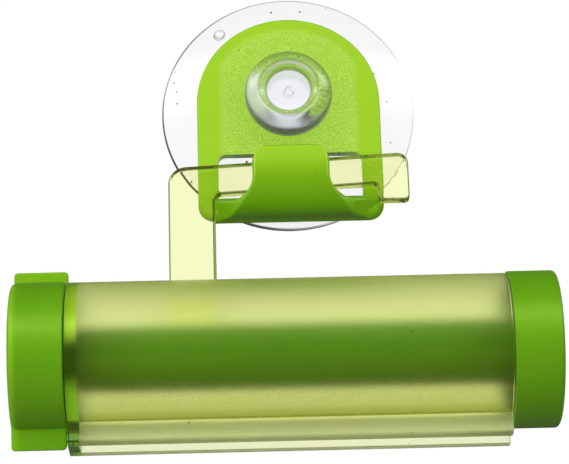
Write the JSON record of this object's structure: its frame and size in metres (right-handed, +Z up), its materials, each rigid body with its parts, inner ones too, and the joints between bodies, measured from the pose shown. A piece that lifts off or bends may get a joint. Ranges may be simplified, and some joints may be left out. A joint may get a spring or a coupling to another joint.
{
  "type": "toothpaste tube squeezer",
  "caption": "Toothpaste tube squeezer: a slotted clear barrel with a slit winding spindle, finned knob and pull-off end cap, hung by its bent arm from a suction cup hook.",
  "frame": {"origin": "middle of the suction cup's sealing face, on the wall", "axes": "+X to the right along the barrel, +Y into the wall, +Z up"},
  "size_m": [0.11, 0.038, 0.11],
  "materials": {
    "clear_vinyl": "clear soft vinyl, moulded glossy",
    "green_plastic": "opaque green, satin gloss",
    "clear_green_plastic": "see-through yellow green, frosted barrel with polished arm and end wall",
    "deep_green_plastic": "opaque green, satin gloss"
  },
  "bodies": {
    "wall_cup": {"suction_cup": "clear_vinyl"},
    "hook": {"hook_plate": "green_plastic"},
    "housing": {"barrel": "clear_green_plastic"},
    "winder": {"winding_spindle": "deep_green_plastic", "winding_knob": "green_plastic"},
    "cap": {"end_cap": "green_plastic"}
  },
  "joints": [
    {"name": "hook_swivel", "type": "hinge", "parent": "wall_cup", "child": "hook", "pos_m": [0, 0, 0], "axis": [0, 1, 0], "continuous": true},
    {"name": "barrel_lift", "type": "slide", "parent": "hook", "child": "housing", "axis": [0, 0, 1], "range_m": [0, 0.0055]},
    {"name": "spindle_turn", "type": "hinge", "parent": "housing", "child": "winder", "pos_m": [0, -0.022, -0.0631], "axis": [1, 0, 0], "continuous": true},
    {"name": "cap_pull", "type": "slide", "parent": "housing", "child": "cap", "axis": [1, 0, 0], "range_m": [0, 0.012]}
  ]
}
